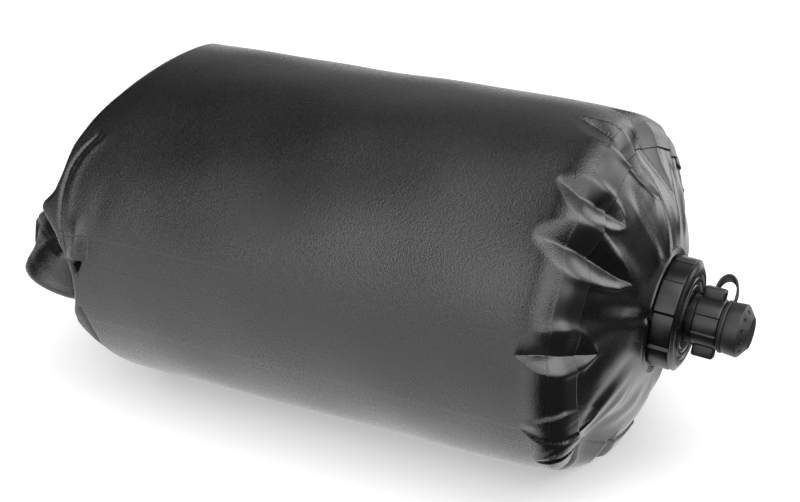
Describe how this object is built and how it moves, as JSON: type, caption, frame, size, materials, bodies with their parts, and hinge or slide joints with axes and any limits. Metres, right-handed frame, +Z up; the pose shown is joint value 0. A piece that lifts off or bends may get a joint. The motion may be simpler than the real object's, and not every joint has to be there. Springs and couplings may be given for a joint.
{
  "type": "collapsible water carrier",
  "caption": "Collapsible roll-top water carrier of coated fabric, lying filled out on its side, with a screw cap, a quarter-turn valve and a push-on shower rose.",
  "frame": {"origin": "middle of the part's box at floor level", "axes": "+X along the bag towards the spout, +Z up, so +Y is the far side when the spout is on the right"},
  "size_m": [0.424, 0.1966, 0.1895],
  "materials": {
    "coated_fabric": "satin coated, fine grain",
    "shell_plastic": "moulded, satin",
    "valve_plastic": "moulded, satin",
    "seal_rubber": "matte",
    "nylon_webbing": "woven, matte",
    "strip_plastic": "extruded, matte"
  },
  "bodies": {
    "bag": {"body_panel": "coated_fabric", "base_panel": "coated_fabric", "rolled_mouth": "coated_fabric", "mouth_stiffener": "strip_plastic", "near_webbing_tab": "nylon_webbing", "far_webbing_tab": "nylon_webbing", "buckle_socket": "shell_plastic", "spout_flange": "valve_plastic"},
    "cap_seal": {"flange_gasket": "seal_rubber"},
    "cap": {"screw_cap": "valve_plastic", "valve_seat": "valve_plastic", "valve_o_ring_rear": "seal_rubber", "valve_o_ring_front": "seal_rubber"},
    "knob": {"wing_knob": "valve_plastic", "valve_disc": "valve_plastic", "rose_o_ring": "seal_rubber", "tether_strap": "seal_rubber"},
    "rose": {"rose_cap": "shell_plastic"},
    "plug": {"buckle_plug": "shell_plastic", "latch_arm_upper": "shell_plastic", "latch_arm_lower": "shell_plastic"}
  },
  "joints": [
    {"name": "cap_lift", "type": "slide", "parent": "bag", "child": "cap_seal", "axis": [0.9982, 0, -0.0593], "range_m": [0, 0.008]},
    {"name": "cap_turn", "type": "hinge", "parent": "cap_seal", "child": "cap", "pos_m": [0.1677, 0.00028, 0.08922], "axis": [0.9982, 0, -0.0593], "range_deg": [0, 720]},
    {"name": "valve_turn", "type": "hinge", "parent": "cap", "child": "knob", "pos_m": [0.18148, 0.00028, 0.0884], "axis": [0.9982, 0, -0.0593], "range_deg": [0, 90]},
    {"name": "rose_pull", "type": "slide", "parent": "knob", "child": "rose", "axis": [0.9982, 0, -0.0593], "range_m": [0, 0.012], "deforming": ["tether_strap"]},
    {"name": "buckle_release", "type": "slide", "parent": "bag", "child": "plug", "axis": [0, 1, 0], "range_m": [0, 0.018], "deforming": ["latch_arm_upper", "latch_arm_lower", "far_webbing_tab"]}
  ],
  "couplings": [
    {"joint": "cap_lift", "follows": "cap_turn", "m_per_rad": 0.00063662}
  ]
}
